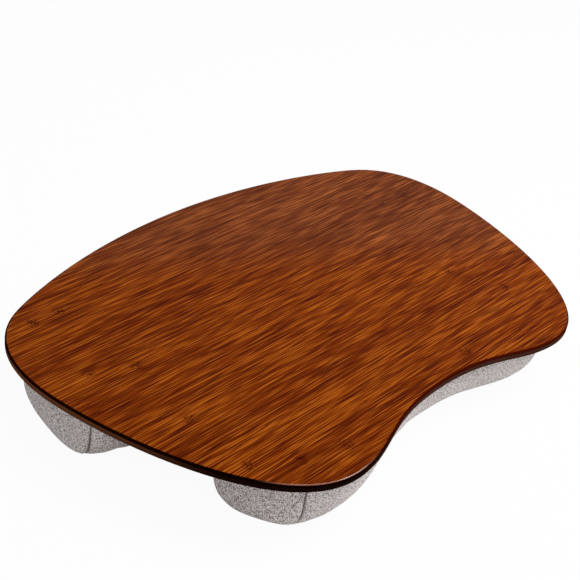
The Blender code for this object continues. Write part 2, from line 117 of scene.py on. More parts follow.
# Cushions, both: soles, corners drawn in towards the ends, and how low the ends bulge most
SOLE_FLAT = 0.0005
SOLE_HEIGHT = 0.0002
BACK_CORNER_DRAW_IN = 0.004
DRAW_IN_POWER = 16
RISE_POWER = 6
END_SAG = 2.0

# Front cushion: it follows the board's front edge, a little askew
FRONT_EDGE_INSET = 0.0084
FRONT_WAIST_FILL = 0.002
LOBE_X = 0.149
FRONT_ASKEW = 0.018
FRONT_END_BACK_Y = -0.0865
FRONT_END_FRONT_X = 0.1830
FRONT_END_BACK_X = 0.2180
FRONT_BACK_BULGE = 0.006
FRONT_CORNER_DRAW_IN = 0.0085
FRONT_RIGHT_CORNER_DRAW_IN = 0.021
FRONT_RIGHT_CORNER_POWER = 6
FRONT_SECTION_POWERS = ((3.1, 2.6), (7.0, 2.8))
FRONT_END_RISES = (0.0085, 0.0000)
FRONT_END_CROWN = (0.0085, 0.30)

# Back cushion
BACK_END_FRONT_Y = -0.0215
BACK_END_BACK_Y = 0.1065
BACK_END_FRONT_X = 0.2698
BACK_END_BACK_X = 0.2592
BACK_FRONT_BULGE = 0.018
BACK_BACK_BULGE = 0.026
BACK_FRONT_CORNER_DRAW_IN = 0.0195
BACK_SECTION_POWERS = ((4.0, 2.6), (6.0, 3.0))
BACK_END_RISES = (0.0060, 0.0025)
BACK_END_CROWN = (0.0085, 0.70)

# Cushion meshes, and the cloth simulation that swells them
MESH_STEP = 0.0046
STEPS_ACROSS = 20
STEPS_DOWN = 13
SLACK_START = 0.0014
SWELL_CAP = 0.0025
SWELL_FRAMES = 20
PRESSURE = 4.0
CLOTH_STIFFNESS = 150.0
CLOTH_BENDING = 1.0
CLOTH_SPARE = -0.01
CLOTH_QUALITY = 8
CLOTH_MASS = 0.3

# Seams
SEAM_HALF_WIDTH = 0.0012
SEAM_DEPTH = 0.0016
SEAM_SEGMENTS = 4
SEAM_SAMPLES = 6
PUCKER_REACH = 0.011
PUCKER_DEPTH = 0.00045
PUCKER_LENGTH = 0.009

# Mounting panels: the shares of the cushion's half length and half depth that they fill
PANEL_LONG = 0.975
PANEL_DEEP = 0.89
PANEL_ROUND = 0.0003

# Linen: the weave's pitch, the yarns' patterns and tones, and how far from a seam the painted shade in
# its groove reaches
THREAD = 0.00085
WARP_SCALES = (1350.0, 300.0, 1.0)
WEFT_SCALES = (300.0, 1350.0, 1.0)
FLECK_SCALE = 1150.0
YARN_SHARE = 0.66
LINEN_TONES = (
    (0.42, (0.120, 0.100, 0.094)),
    (0.49, (0.705, 0.635, 0.613)),
    (0.56, (1.000, 0.935, 0.915)),
)
SEAM_SHADE = 0.0016
SEAM_SHADE_TONE = (0.05, 0.04, 0.037)

# Camera and lamps
CAMERA_PLACE = (-0.7584, -0.5798, 0.7089)
CAMERA_AHEAD = (0.6502, 0.5171, -0.5566)
CAMERA_ROLL = math.radians(8.603)
CAMERA_LENS = 73.65
CAMERA_SENSOR = 36.0
KEY_DIRECTION = (0.45, -0.45, 0.77)
KEY_ALONG = (1.0, 0.0, 0.0)
LAMP_DISTANCE = 1.6
KEY_SIZE = (0.6, 0.6)
KEY_POWER = 11.0
STRIP_DIRECTION = (0.2, -0.2, 0.96)
STRIP_ALONG = (0.89, -0.45, 0.0)
STRIP_SIZE = (0.85, 0.24)
STRIP_POWER = 6.0
AMBIENT = 0.5
FLOOR_SIZE = 12.0
FLOOR_GREY = 0.82
FLOOR_WHITE = 0.95

# One cushion. front_x, back_x: half its length at its front and its back. front_line, back_line:
# the y for an x. corners: depth and power of the left and the right front corner. powers: of its
# section's front and back half, at the middle and at the ends. rises: how far the sole lifts at
# the front and the back of the ends. crown: depth and lean of the ends' bulge. top: its highest z.
FIELDS = "name front_x back_x front_line back_line corners powers rises crown top"
Cushion = namedtuple("Cushion", FIELDS)


class Paint:
    """One material's shader nodes. Its methods add a node and return its output socket."""

    def __init__(self, name):
        self.material = bpy.data.materials.new(name)
        self.material.use_nodes = True
        self.tree = self.material.node_tree
        self.tree.nodes.clear()
        self.output = self.tree.nodes.new("ShaderNodeOutputMaterial")
        self.shader = self.tree.nodes.new("ShaderNodeBsdfPrincipled")
        self.tree.links.new(self.shader.outputs[0], self.output.inputs["Surface"])

    def put(self, socket, value):
        if isinstance(value, bpy.types.NodeSocket):
            self.tree.links.new(value, socket)
        else:
            socket.default_value = value

    def set(self, **values):
        """Set or link inputs of the shader, with underscores for the spaces in their names."""
        for name, value in values.items():
            self.put(self.shader.inputs[name.replace("_", " ")], value)

    def place(self):
        return self.tree.nodes.new("ShaderNodeTexCoord").outputs["Object"]

    def cloth_place(self, uv_map):
        node = self.tree.nodes.new("ShaderNodeUVMap")
        node.uv_map = uv_map
        return node.outputs[0]

    def number(self, name):
        """A number that the mesh stores at its points."""
        node = self.tree.nodes.new("ShaderNodeAttribute")
        node.attribute_name = name
        return node.outputs["Fac"]

    def axis(self, vector, index):
        node = self.tree.nodes.new("ShaderNodeSeparateXYZ")
        self.put(node.inputs[0], vector)
        return node.outputs[index]

    def join(self, x, y, z=0.0):
        node = self.tree.nodes.new("ShaderNodeCombineXYZ")
        for socket, value in zip(node.inputs, (x, y, z)):
            self.put(socket, value)
        return node.outputs[0]

    def maths(self, operation, a, b=0.0):
        node = self.tree.nodes.new("ShaderNodeMath")
        node.operation = operation
        self.put(node.inputs[0], a)
        self.put(node.inputs[1], b)
        return node.outputs[0]

    def vector_maths(self, operation, a, b):
        node = self.tree.nodes.new("ShaderNodeVectorMath")
        node.operation = operation
        self.put(node.inputs[0], a)
        self.put(node.inputs[1], b)
        return node.outputs["Value" if operation == "DISTANCE" else "Vector"]

    def noise(self, place, scale, detail=2.0, roughness=0.5, distortion=0.0):
        node = self.tree.nodes.new("ShaderNodeTexNoise")
        self.put(node.inputs["Vector"], place)
        node.inputs["Scale"].default_value = scale
        node.inputs["Detail"].default_value = detail
        node.inputs["Roughness"].default_value = roughness
        node.inputs["Distortion"].default_value = distortion
        return node.outputs["Fac"]

    def stretched_noise(self, place, scales, detail=2.0, roughness=0.5):
        """Noise with its own scale along each axis."""
        stretched = self.vector_maths("MULTIPLY", place, scales)
        return self.noise(stretched, 1.0, detail, roughness)

    def dice(self, value):
        """A random number from 0 to 1 for each value."""
        node = self.tree.nodes.new("ShaderNodeTexWhiteNoise")
        node.noise_dimensions = "1D"
        self.put(node.inputs["W"], value)
        return node.outputs["Value"]

    def ramp(self, value, *stops):
        """A colour ramp; each stop is a place from 0 to 1 and a colour."""
        node = self.tree.nodes.new("ShaderNodeValToRGB")
        elements = node.color_ramp.elements
        while len(elements) < len(stops):
            elements.new(1.0)
        for element, (position, colour) in zip(elements, stops):
            element.position = position
            element.color = (*colour, 1.0)
        self.put(node.inputs[0], value)
        return node.outputs[0]

    def spread(self, value, low, high, to_low=0.0, to_high=1.0):
        """Map low to high onto another range, eased at both ends."""
        node = self.tree.nodes.new("ShaderNodeMapRange")
        node.interpolation_type = "SMOOTHSTEP"
        names = ("From Min", "From Max", "To Min", "To Max")
        for name, number in zip(names, (low, high, to_low, to_high)):
            node.inputs[name].default_value = number
        self.put(node.inputs["Value"], value)
        return node.outputs[0]

    def mix(self, share, first, second):
        node = self.tree.nodes.new("ShaderNodeMix")
        node.data_type = "RGBA"
        self.put(node.inputs[0], share)
        for socket, value in zip(node.inputs[6:8], (first, second)):
            self.put(socket, (*value, 1.0) if isinstance(value, tuple) else value)
        return node.outputs[2]

    def bump(self, height, distance, strength):
        node = self.tree.nodes.new("ShaderNodeBump")
        node.inputs["Strength"].default_value = strength
        node.inputs["Distance"].default_value = distance
        self.put(node.inputs["Height"], height)
        return node.outputs[0]


def knuckle_distance(paint, place):
    """How far each point is from its nearest knuckle, in knuckle widths."""
    flat = paint.vector_maths("MULTIPLY", place, (1.0, KNUCKLE_SQUASH, 0.0))
    nearest = None
    for x, y in KNUCKLES:
        distance = paint.vector_maths("DISTANCE", flat, (x, KNUCKLE_SQUASH * y, 0.0))
        nearest = distance if nearest is None else paint.maths("MINIMUM", nearest, distance)
    return paint.maths("DIVIDE", nearest, KNUCKLE_REACH)


def grain_line(paint, place, near):
    """Each point's y along the bent grain, which wanders and swirls near the knuckles."""
    wander = paint.stretched_noise(place, WANDER_SCALES, 2.0)
    bend = paint.maths("MULTIPLY", paint.maths("SUBTRACT", wander, 0.5), FIBRE_WANDER)
    swirl = paint.noise(place, KNUCKLE_SWIRL_SCALE, 1.5)
    swirl = paint.maths("MULTIPLY", paint.maths("SUBTRACT", swirl, 0.5), near)
    swirl = paint.maths("MULTIPLY", swirl, KNUCKLE_SWIRL)
    return paint.maths("ADD", paint.maths("ADD", paint.axis(place, 1), bend), swirl)


def grain_lightness(paint, along, strip):
    """How light the wood is, from rows of fibres, streaks, ripples and each strip's own number."""
    grain_y = paint.axis(along, 1)
    row = paint.maths("FLOOR", paint.maths("DIVIDE", grain_y, FIBRE_WIDTH))
    row_place = paint.join(paint.axis(along, 0), paint.maths("MULTIPLY", row, ROW_JUMP))
    fibre = paint.stretched_noise(row_place, FIBRE_SCALES, 1.0)
    broad = paint.stretched_noise(along, BROAD_SCALES, 1.0)
    streak = paint.stretched_noise(along, STREAK_SCALES, 1.0)
    phase = paint.maths("MULTIPLY", paint.stretched_noise(along, RIPPLE_SCALES, 1.0), 12.0)
    turns = paint.maths("MULTIPLY", grain_y, math.tau / RIPPLE)
    ripple = paint.maths("SINE", paint.maths("ADD", turns, phase))
    value = paint.maths("MULTIPLY", streak, STREAK_SHARE)
    value = paint.maths("ADD", value, paint.maths("MULTIPLY", broad, BROAD_SHARE))
    value = paint.maths("ADD", value, paint.maths("MULTIPLY", fibre, FIBRE_SHARE))
    value = paint.maths("ADD", value, paint.maths("MULTIPLY", ripple, RIPPLE_SHARE))
    own_tone = paint.maths("SUBTRACT", strip, 0.5)
    return paint.maths("ADD", value, paint.maths("MULTIPLY", own_tone, STRIP_SHARE))


def bamboo(name, near_tones, far_sheen_tones, gloss, roughness):
    """Strips of stained bamboo along X, with streaks, dark fibres and knuckles.

    The tones are dark, middle and light. They change from the near left to the far right side, where
    they hold a painted sheen of reflected light.
    """
    paint = Paint(name)
    place = paint.place()
    x = paint.axis(place, 0)
    y = paint.axis(place, 1)
    near = paint.spread(knuckle_distance(paint, place), 0.25, 1.0, 1.0, 0.0)
    from_start = paint.maths("SUBTRACT", y, STRIP_START)
    strip = paint.dice(paint.maths("FLOOR", paint.maths("DIVIDE", from_start, STRIP_WIDTH)))
    shifted = paint.maths("ADD", x, paint.maths("MULTIPLY", strip, 7.0))
    along = paint.join(shifted, grain_line(paint, place, near), paint.axis(place, 2))
    value = grain_lightness(paint, along, strip)

    # Painted sheen: towards the far right the tones turn paler and bluer, as a reflection of the white
    # surroundings would make them
    far_sheen = paint.spread(paint.maths("ADD", paint.maths("MULTIPLY", x, 0.6), y), *FAR_SHEEN_SIDE)
    dark, middle, light = (paint.mix(far_sheen, *pair) for pair in zip(near_tones, far_sheen_tones))
    colour = paint.mix(paint.spread(value, *DARK_TO_MIDDLE), dark, middle)
    colour = paint.mix(paint.spread(value, *MIDDLE_TO_LIGHT), colour, light)
    dark_fibre = paint.stretched_noise(along, DARK_FIBRE_SCALES, 1.0)
    colour = paint.mix(paint.spread(dark_fibre, 0.60, 0.68, 0.0, 0.6), colour, dark)
    ring = paint.noise(place, KNUCKLE_RING_SCALE, 1.0, 0.5, 1.2)
    ring = paint.spread(ring, 0.42, 0.58, 0.0, 0.9)
    colour = paint.mix(paint.maths("MULTIPLY", ring, near), colour, dark)
    seam = paint.maths("PINGPONG", from_start, STRIP_WIDTH / 2)
    colour = paint.mix(paint.spread(seam, 0.0, 0.0005, 0.35, 0.0), colour, dark)

    paint.set(Base_Color=colour, Roughness=roughness, Specular_IOR_Level=gloss)
    paint.set(Normal=paint.bump(value, 0.00025, 0.4))
    return paint.material


def stained_edge(name, front, right, lit_sides):
    """The board's rim: a stain that changes to the right, with painted light at the sides and a painted
    highlight on the crest of the left front lobe.
    """
    paint = Paint(name)
    place = paint.place()
    x = paint.maths("ABSOLUTE", paint.axis(place, 0))
    near = paint.maths("MULTIPLY", paint.axis(place, 1), -1.0)
    z = paint.axis(place, 2)
    fibre = paint.stretched_noise(place, (60.0, 60.0, 1600.0), 3.0, 0.6)
    cloudy = paint.noise(place, 28.0, 2.0)
    colour = paint.mix(paint.spread(paint.axis(place, 0), *RIM_RIGHT), front, right)
    # Painted light: both ends of the rim along X turn lighter and redder, as if lit from the side,
    # broken up by the fibres
    painted_side_light = paint.spread(x, *RIM_LIT_SIDES)
    painted_side_light = paint.maths("MULTIPLY", painted_side_light, paint.spread(fibre, 0.25, 0.65, 0.55, 1.0))
    colour = paint.mix(painted_side_light, colour, lit_sides)
    # Painted highlight: a lighter reddish tone along the crest of the left front lobe only; the gloss
    # there is real and catches the strip lamp
    crest = paint.spread(z, *RIM_CREST)
    lobe = paint.spread(paint.axis(place, 0), *RIM_LOBE, 1.0, 0.0)
    lobe = paint.maths("MULTIPLY", lobe, paint.spread(near, *RIM_LOBE_FRONT))
    painted_highlight = paint.maths("MULTIPLY", crest, lobe)
    colour = paint.mix(painted_highlight, colour, CREST_HIGHLIGHT_TONE)
    paint.set(Base_Color=colour, Specular_IOR_Level=paint.maths("MULTIPLY", painted_highlight, CREST_GLOSS))
    paint.set(Roughness=paint.spread(cloudy, 0.3, 0.7, 0.12, 0.18))
    paint.set(Normal=paint.bump(fibre, 0.0001, 0.2))
    return paint.material


def linen(name):
    """Light grey plain-weave cloth of mixed warm threads, with painted shade in the seam grooves."""
    paint = Paint(name)
    place = paint.cloth_place("Weave")
    u = paint.axis(place, 0)
    v = paint.axis(place, 1)
    wave_u = paint.maths("SINE", paint.maths("MULTIPLY", u, math.pi / THREAD))
    wave_v = paint.maths("SINE", paint.maths("MULTIPLY", v, math.pi / THREAD))
    weave = paint.maths("MULTIPLY", wave_u, wave_v)
    over = paint.spread(weave, -0.2, 0.2)
    under = paint.maths("SUBTRACT", 1.0, over)
    warp = paint.maths("MULTIPLY", paint.stretched_noise(place, WARP_SCALES, 1.0, 0.6), over)
    weft = paint.maths("MULTIPLY", paint.stretched_noise(place, WEFT_SCALES, 1.0, 0.6), under)
    yarn = paint.maths("MULTIPLY", paint.maths("ADD", warp, weft), YARN_SHARE)
    fleck = paint.noise(paint.place(), FLECK_SCALE, 1.0, 0.6)
    value = paint.maths("ADD", yarn, paint.maths("MULTIPLY", fleck, 1 - YARN_SHARE))
    colour = paint.ramp(value, *LINEN_TONES)
    # Painted shade: the cloth darkens towards the seam line, deepening the shade of the pressed-in
    # groove
    seam = paint.spread(paint.number("seam"), 0.0, SEAM_SHADE, 0.8, 0.0)
    colour = paint.mix(seam, colour, SEAM_SHADE_TONE)
    paint.set(Base_Color=colour, Roughness=0.95, Specular_IOR_Level=0.2)
    paint.set(Sheen_Weight=0.25, Sheen_Roughness=0.5)
    height = paint.maths("ADD", paint.maths("ABSOLUTE", weave), paint.maths("MULTIPLY", fleck, 0.6))
    paint.set(Normal=paint.bump(height, 0.00022, 0.7))
    return paint.material


def hardboard(name):
    """Brown pressed-fibre board."""
    paint = Paint(name)
    place = paint.place()
    fibre = paint.noise(place, 900.0, 4.0, 0.7)
    cloudy = paint.noise(place, 60.0, 3.0)
    value = paint.maths("MULTIPLY", fibre, 0.6)
    value = paint.maths("ADD", value, paint.maths("MULTIPLY", cloudy, 0.4))
    colour = paint.ramp(value, (0.35, (0.13, 0.07, 0.03)), (0.65, (0.34, 0.21, 0.11)))
    paint.set(Base_Color=colour, Roughness=0.8)
    paint.set(Normal=paint.bump(fibre, 0.0002, 0.5))
    return paint.material


def zinc(name):
    """Zinc-plated steel with a faint spangle."""
    paint = Paint(name)
    place = paint.place()
    spangle = paint.noise(place, 700.0, 3.0, 0.6)
    colour = paint.ramp(spangle, (0.35, (0.48, 0.48, 0.47)), (0.65, (0.68, 0.68, 0.66)))
    paint.set(Base_Color=colour, Metallic=1.0, Roughness=paint.spread(spangle, 0.3, 0.7, 0.28, 0.42))
    return paint.material


def periodic_spline(points, count):
    """A closed smooth curve through the points, as count points evenly spaced along it."""
    steps = numpy.linalg.norm(numpy.roll(points, -1, axis=0) - points, axis=1)
    size = len(points)
    before = numpy.roll(steps, 1)
    system = numpy.zeros((size, size))
    for row in range(size):
        system[row, row - 1] = before[row]
        system[row, row] = 2 * (before[row] + steps[row])
        system[row, (row + 1) % size] = steps[row]
    slopes = (numpy.roll(points, -1, axis=0) - points) / steps[:, None]
    bends = numpy.linalg.solve(system, 6 * (slopes - numpy.roll(slopes, 1, axis=0)))
    dense = []
    for row in range(size):
        after = (row + 1) % size
        for share in numpy.linspace(0, 1, SPLINE_STEPS, endpoint=False):
            rest = 1 - share
            curve = (rest ** 3 - rest) * bends[row] + (share ** 3 - share) * bends[after]
            dense.append(rest * points[row] + share * points[after] + curve * steps[row] ** 2 / 6)
    return evenly_spaced(numpy.array(dense), count)


def evenly_spaced(loop, count):
    """The closed loop again, as count points evenly spaced along it."""
    closed = numpy.vstack([loop, loop[:1]])
    steps = numpy.linalg.norm(numpy.diff(closed, axis=0), axis=1)
    lengths = numpy.concatenate([[0], numpy.cumsum(steps)])
    wanted = numpy.linspace(0, lengths[-1], count, endpoint=False)
    return numpy.stack([numpy.interp(wanted, lengths, closed[:, axis]) for axis in (0, 1)], axis=1)


def board_outline():
    """The board's outline in plan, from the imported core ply's flat top."""
    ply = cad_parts["core_ply"]
    places = numpy.array([vertex.co for vertex in ply.data.vertices])
    rim = places[places[:, 2] > places[:, 2].max() - SAME_PLACE][:, :2]
    rim = numpy.unique(rim.round(6), axis=0)
    order = numpy.argsort(numpy.arctan2(rim[:, 1], rim[:, 0]))
    return periodic_spline(rim[order], OUTLINE_POINTS)


def outward(loop):
    """Unit vectors that point out of a counterclockwise loop."""
    ahead = numpy.roll(loop, -1, axis=0) - numpy.roll(loop, 1, axis=0)
    ahead /= numpy.linalg.norm(ahead, axis=1)[:, None]
    return numpy.stack([ahead[:, 1], -ahead[:, 0]], axis=1)


def board_front_y(outline, x):
    """The y of the board's front edge at a place x across."""
    front = outline[outline[:, 1] < 0]
    front = front[numpy.abs(front[:, 0]) < FRONT_END_BACK_X + MESH_STEP]
    front = front[numpy.argsort(front[:, 0])]
    return float(numpy.interp(x, front[:, 0], front[:, 1]))


def quarter_round(radius, edge_z, upward):
    """Rows of inset and height that round an edge over, from the flat face to the side.

    upward is 1 for the upper edge of a side and -1 for its lower edge.
    """
    rows = []
    for step in range(ROUND_STEPS + 1):
        turn = math.pi / 2 * step / ROUND_STEPS
        rows.append((radius * (1 - math.sin(turn)), edge_z - upward * radius * (1 - math.cos(turn))))
    return rows


def ply_piece(name, outline, rows, materials, plain_rows):
    """A plate with the given outline; each row of its edge is an inset and a height, top first.

    The edge takes the second material, apart from plain_rows rows at its top and its bottom.
    """
    out = outward(outline)
    form = bmesh.new()
    rings = []
    for inset, height in rows:
        ring = outline - out * inset
        rings.append([form.verts.new((x, y, height)) for x, y in ring])
    top = form.faces.new(rings[0])
    bottom = form.faces.new(list(reversed(rings[-1])))
    count = len(outline)
    for index, (upper, lower) in enumerate(zip(rings, rings[1:])):
        stained = plain_rows[0] <= index < len(rows) - 1 - plain_rows[1]
        for side in range(count):
            after = (side + 1) % count
            face = form.faces.new((upper[side], lower[side], lower[after], upper[after]))
            face.material_index = 1 if stained else 0
            face.smooth = True
    for cap in (top, bottom):
        cap.smooth = True
    mesh = bpy.data.meshes.new(name)
    form.to_mesh(mesh)
    form.free()
    for material in materials:
        mesh.materials.append(material)
    mesh.set_sharp_from_angle(angle=SHARP_ANGLE)
    piece = bpy.data.objects.new(name, mesh)
    bpy.context.scene.collection.objects.link(piece)
    return piece


def heights(node):
    """The lowest and highest z of a CAD node."""
    low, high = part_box(node)
    return low.z, high.z


def make_face(outline, top_wood, edge_wood):
    """The board's top ply, with its rounded upper rim."""
    low, high = heights("face_ply")
    rows = [(EDGE_ROUND + FACE_RING, high), *quarter_round(EDGE_ROUND, high, 1)]
    rows += [(0, low + GLUE_GROOVE), (GLUE_GROOVE, low), (FACE_RING, low)]
    piece = ply_piece("board_face", outline, rows, (top_wood, edge_wood), (1 + STAINED_FROM_STEP, 1))
    attach(piece, "bamboo_face", "face_ply")


def make_core(outline, wood):
    """The board's middle ply, between two fine glue grooves."""
    low, high = heights("core_ply")
    rows = [(FACE_RING, high), (GLUE_GROOVE, high), (0, high - GLUE_GROOVE)]
    rows += [(0, low + GLUE_GROOVE), (GLUE_GROOVE, low), (FACE_RING, low)]
    piece = ply_piece("board_core", outline, rows, (wood, wood), (0, 0))
    attach(piece, "bamboo_core", "core_ply")


def make_back(outline, under_wood, edge_wood):
    """The board's underside ply, with its rounded lower rim."""
    low, high = heights("back_ply")
    rows = [(FACE_RING, high), (GLUE_GROOVE, high), (0, high - GLUE_GROOVE)]
    rows += list(reversed(quarter_round(UNDER_ROUND, low, -1))) + [(UNDER_ROUND + FACE_RING, low)]
    piece = ply_piece("board_back", outline, rows, (under_wood, edge_wood), (1, 1 + STAINED_FROM_STEP))
    attach(piece, "bamboo_back", "back_ply")


def attach(piece, slot, *nodes):
    """Let a piece ride on the one body, in the place of CAD nodes, which it hides."""
    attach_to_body(piece, "root")
    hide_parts(*nodes)


def arched(x, end_x, end_y, bulge):
    """A line across the desk that bows from end_y at its ends by the bulge at its middle."""
    return end_y + bulge * (1 - (x / end_x) ** 2)


def front_edge(outline, x):
    """The front cushion's front line: the board's edge, set in, a little fuller in the waist."""
    fuller = FRONT_WAIST_FILL * max(0.0, 1 - (x / LOBE_X) ** 2)
    return board_front_y(outline, x) + FRONT_EDGE_INSET - fuller + FRONT_ASKEW * x


def front_cushion(outline):
    """The cushion under the board's front edge."""
    return Cushion(
        "front",
        FRONT_END_FRONT_X,
        FRONT_END_BACK_X,
        lambda x: front_edge(outline, x),
        lambda x: arched(x, FRONT_END_BACK_X, FRONT_END_BACK_Y, FRONT_BACK_BULGE) + FRONT_ASKEW * x,
        ((FRONT_CORNER_DRAW_IN, DRAW_IN_POWER), (FRONT_RIGHT_CORNER_DRAW_IN, FRONT_RIGHT_CORNER_POWER)),
        FRONT_SECTION_POWERS,
        FRONT_END_RISES,
        FRONT_END_CROWN,
        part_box("front_cover_wrap")[1].z,
    )


def back_cushion():
    """The longer cushion under the back part of the board."""
    return Cushion(
        "back",
        BACK_END_FRONT_X,
        BACK_END_BACK_X,
        lambda x: arched(x, BACK_END_FRONT_X, BACK_END_FRONT_Y, -BACK_FRONT_BULGE),
        lambda x: arched(x, BACK_END_BACK_X, BACK_END_BACK_Y + BACK_CORNER_DRAW_IN, BACK_BACK_BULGE),
        ((BACK_FRONT_CORNER_DRAW_IN, DRAW_IN_POWER), (BACK_FRONT_CORNER_DRAW_IN, DRAW_IN_POWER)),
        BACK_SECTION_POWERS,
        BACK_END_RISES,
        BACK_END_CROWN,
        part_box("back_cover_wrap")[1].z,
    )


def section_place(a, b, power):
    """Map a square's a from -1 to 1 and b from 0 to 1 onto the cushion's rounded D section."""
    across = a * math.sqrt(1 - b ** 2 / 2)
    down = b * math.sqrt(1 - a ** 2 / 2)
    reach = math.hypot(across, down)
    if reach == 0:
        return 0.0, 0.0
    cosine = abs(across / reach)
    sine = abs(down / reach)
    stretch = (cosine ** power + sine ** power) ** (-1 / power)
    return across * stretch, down * stretch


def cushion_point(cushion, u, a, b, slack):
    """A point of the cushion: u along it, a from front to back, b from top to bottom."""
    front_x = u * cushion.front_x
    back_x = u * cushion.back_x
    front = Vector((front_x, cushion.front_line(front_x)))
    back = Vector((back_x, cushion.back_line(back_x)))
    towards_back = (back - front).normalized()
    slack *= 1 - abs(u) ** DRAW_IN_POWER
    drawn = abs(u) ** DRAW_IN_POWER
    corner_depth, corner_power = cushion.corners[int(u > 0)]
    front += towards_back * (corner_depth * abs(u) ** corner_power + slack)
    back -= towards_back * (BACK_CORNER_DRAW_IN * drawn + slack)
    middle_power, end_power = (powers[a > 0] for powers in cushion.powers)
    power = middle_power + (end_power - middle_power) * drawn
    across, down = section_place(a, b, power)
    front_rise, back_rise = cushion.rises
    rise = back_rise + (front_rise - back_rise) * ((1 - a) / 2) ** 3
    bottom = rise * abs(u) ** RISE_POWER - SOLE_FLAT + slack
    middle = (front + back) / 2
    place = middle + (back - front) / 2 * across
    return Vector((place.x, place.y, cushion.top - (cushion.top - bottom) * down))


def end_normal(cushion, side):
    """The direction that an end of the cushion faces, in plan."""
    front = Vector((side * cushion.front_x, cushion.front_line(side * cushion.front_x)))
    back = Vector((side * cushion.back_x, cushion.back_line(side * cushion.back_x)))
    along = (back - front).normalized()
    return Vector((side * along.y, -side * along.x, 0))


def cushion_stations(cushion):
    """Evenly spaced u from one end of the cushion to the other."""
    half = (cushion.front_x + cushion.back_x) / 2
    count = 2 * round(half / MESH_STEP)
    return numpy.linspace(-1, 1, count + 1)


def grid_share(j, k):
    """The a and b of a grid point in a section."""
    return 2 * j / STEPS_ACROSS - 1, k / STEPS_DOWN


def path_around():
    """The grid points round a section: down the front, along the sole, up the back, over the top."""
    path = [(0, k) for k in range(STEPS_DOWN)]
    path += [(j, STEPS_DOWN) for j in range(STEPS_ACROSS)]
    path += [(STEPS_ACROSS, k) for k in range(STEPS_DOWN, 0, -1)]
    path += [(j, 0) for j in range(STEPS_ACROSS, -1, -1)]
    return path


def lengths_around(cushion, path):
    """How far along the middle section's line each point of the path lies."""
    places = [cushion_point(cushion, 0, *grid_share(*step), 0) for step in path]
    around = [0.0]
    for here, there in zip(places, places[1:]):
        around.append(around[-1] + (there - here).length)
    return around


def end_bulge(cushion, side, a, b):
    """How far an end panel stands out at a and b of its section, from nothing at its seam."""
    depth, lean = cushion.crown
    share = (1 - a ** 2) * (1 - lean * a) * (1 - (1 - 2 * b ** END_SAG) ** 2)
    return end_normal(cushion, side) * (depth * share)


def end_cloth_place(cushion, j, k):
    """Where a corner of an end panel lies in its flat cloth."""
    point = cushion_point(cushion, 1, *grid_share(j, k), 0)
    return (point.y, point.z)


def cushion_mesh(cushion, slack):
    """The cushion's closed cover, as a grid wrapped round it, with its end panels."""
    stations = cushion_stations(cushion)
    last = len(stations) - 1
    form = bmesh.new()
    weave = form.loops.layers.uv.new("Weave")
    panel = form.faces.layers.int.new("panel")
    vertices = {}

    def vertex(i, j, k):
        if (i, j, k) not in vertices:
            a, b = grid_share(j, k)
            point = cushion_point(cushion, stations[i], a, b, slack)
            if i in (0, last):
                point += end_bulge(cushion, 1 if i else -1, a, b)
            vertices[i, j, k] = form.verts.new(point)
        return vertices[i, j, k]

    def quad(number, keys, places):
        face = form.faces.new([vertex(*key) for key in keys])
        face.smooth = True
        face[panel] = number
        for loop, place in zip(face.loops, places):
            loop[weave].uv = place

    path = path_around()
    around = lengths_around(cushion, path)
    half = (cushion.front_x + cushion.back_x) / 2
    for i in range(last):
        left = stations[i] * half
        right = stations[i + 1] * half
        for step, (here, there) in enumerate(zip(path, path[1:])):
            keys = [(i, *here), (i, *there), (i + 1, *there), (i + 1, *here)]
            upper, lower = around[step:step + 2]
            quad(0, keys, [(left, upper), (left, lower), (right, lower), (right, upper)])
    for i in (0, last):
        for j in range(STEPS_ACROSS):
            for k in range(STEPS_DOWN):
                keys = [(i, j, k), (i, j + 1, k), (i, j + 1, k + 1), (i, j, k + 1)]
                if i == last:
                    keys.reverse()
                quad(1, keys, [end_cloth_place(cushion, *key[1:]) for key in keys])
    bmesh.ops.recalc_face_normals(form, faces=form.faces)
    mesh = bpy.data.meshes.new(cushion.name + "_cushion_cover")
    form.to_mesh(mesh)
    form.free()
    return mesh


def on_seam(edge, panel):
    """Whether an edge joins an end panel to the long panel."""
    return len({face[panel] for face in edge.link_faces}) == 2


def swell(piece, held):
    """Blow the cover up a little with Cloth, held at some of its vertices, and keep the result."""
    mesh = piece.data
    start = numpy.array([vertex.co for vertex in mesh.vertices])
    group = piece.vertex_groups.new(name="held")
    group.add(held, 1.0, "REPLACE")
    cloth = piece.modifiers.new("Cloth", "CLOTH")
    cloth.settings.quality = CLOTH_QUALITY
    cloth.settings.mass = CLOTH_MASS
    cloth.settings.tension_stiffness = CLOTH_STIFFNESS
    cloth.settings.compression_stiffness = CLOTH_STIFFNESS
    cloth.settings.shear_stiffness = CLOTH_STIFFNESS
    cloth.settings.bending_stiffness = CLOTH_BENDING
    cloth.settings.use_pressure = True
    cloth.settings.uniform_pressure_force = PRESSURE
    cloth.settings.shrink_min = CLOTH_SPARE
    cloth.settings.vertex_group_mass = group.name
    cloth.settings.effector_weights.gravity = 0.0
    cloth.collision_settings.use_collision = False
    cloth.point_cache.frame_start = 1
    cloth.point_cache.frame_end = SWELL_FRAMES
    for number in range(1, SWELL_FRAMES + 1):
        bpy.context.scene.frame_set(number)
    blown = piece.evaluated_get(bpy.context.evaluated_depsgraph_get())
    end = numpy.array([vertex.co for vertex in blown.data.vertices])
    piece.modifiers.remove(cloth)
    piece.vertex_groups.remove(group)
    bpy.context.scene.frame_set(1)
    move = end - start
    reach = numpy.linalg.norm(move, axis=1)
    soft = SWELL_CAP * numpy.tanh(reach / SWELL_CAP)
    place = start + move * (soft / numpy.maximum(reach, SAME_PLACE))[:, None]
    place[:, 2] = numpy.maximum(place[:, 2], SOLE_HEIGHT)
    mesh.vertices.foreach_set("co", place.ravel())
    mesh.update()


